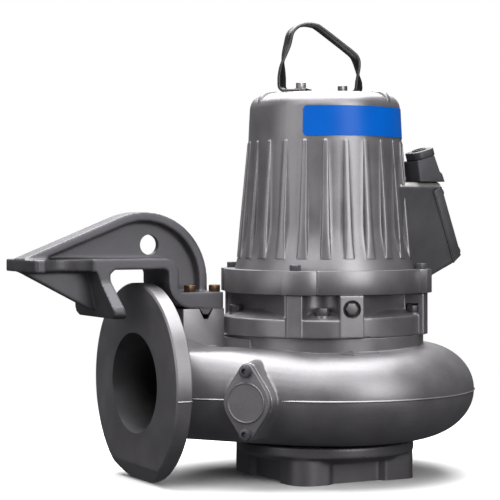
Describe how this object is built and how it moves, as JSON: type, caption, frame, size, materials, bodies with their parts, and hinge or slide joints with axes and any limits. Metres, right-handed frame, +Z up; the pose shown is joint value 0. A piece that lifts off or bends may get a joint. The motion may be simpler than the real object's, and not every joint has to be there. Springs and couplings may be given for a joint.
{
  "type": "submersible sewage pump",
  "caption": "Submersible sewage pump with ribbed motor housing, spiral volute, flanged side outlet, lifting bail and a guide claw that hooks over the outlet flange.",
  "frame": {"origin": "centre of the footprint, on the plane that the foot rests on", "axes": "+Z up along the motor shaft, the outlet points along -X, the inspection cover is on the -Y side"},
  "size_m": [0.6802, 0.4274, 0.6589],
  "materials": {
    "painted_iron": "semi-gloss grey paint on cast iron",
    "bare_iron": "machined and cast hard iron, unpainted",
    "stainless": "turned stainless steel",
    "dark_steel": "pickled stainless flat bar, dark and satin",
    "rubber": "black nitrile rubber",
    "blue_film": "plain blue self-adhesive film"
  },
  "bodies": {
    "root": {"suction_cover": "painted_iron", "volute_casing": "painted_iron", "insert_ring": "bare_iron", "impeller": "bare_iron", "impeller_screw": "stainless", "motor_shaft": "stainless", "inspection_gasket": "rubber", "inspection_cover": "painted_iron", "oil_housing": "painted_iron", "plug_washer": "rubber", "oil_plug": "stainless", "motor_housing": "painted_iron", "box_gasket": "rubber", "box_cover": "painted_iron", "cable_entry": "painted_iron", "cable_clamp": "painted_iron", "cable_bush": "rubber", "name_band": "blue_film", "lifting_bail": "dark_steel", "guide_claw": "painted_iron"}
  },
  "joints": []
}
